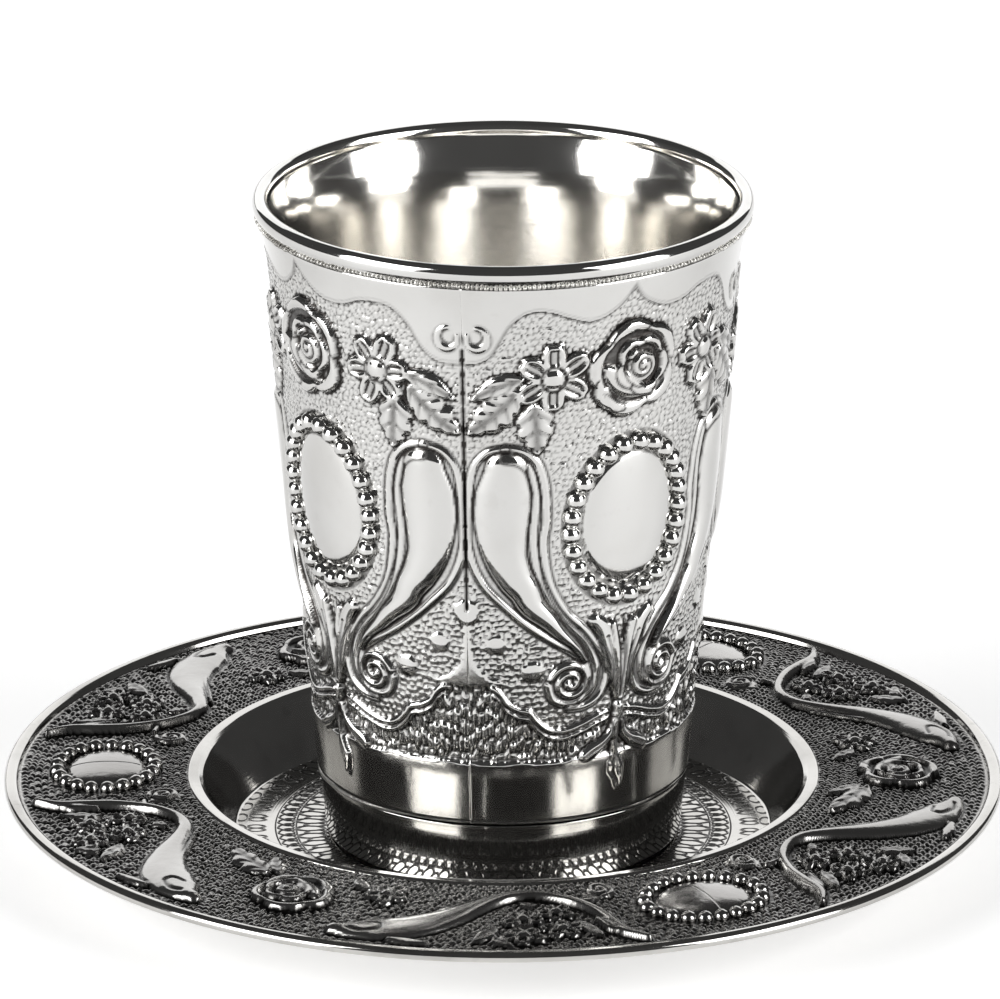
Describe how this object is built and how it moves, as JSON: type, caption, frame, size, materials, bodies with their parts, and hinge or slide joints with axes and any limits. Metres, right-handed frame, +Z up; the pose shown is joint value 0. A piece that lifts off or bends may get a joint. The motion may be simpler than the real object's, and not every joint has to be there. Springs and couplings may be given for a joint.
{
  "type": "kiddush cup with saucer",
  "caption": "Tapered metal beaker with embossed floral sleeve and flared lip, standing in the well of a round saucer with an embossed brim.",
  "frame": {"origin": "centre of the saucer's underside, on the surface it stands on", "axes": "+Z up along the axis of cup and saucer; -Y is the front, with the sleeve's seam a little left of it"},
  "size_m": [0.125, 0.125, 0.0843],
  "materials": {
    "bright_silver": "polished silver plate",
    "bright_silver_sleeve": "polished silver plate with dark recesses",
    "oxidised_silver": "oxidised silver plate with polished high spots"
  },
  "bodies": {
    "root": {"inner_beaker": "bright_silver", "embossed_sleeve": "bright_silver_sleeve", "saucer": "oxidised_silver"}
  },
  "joints": []
}
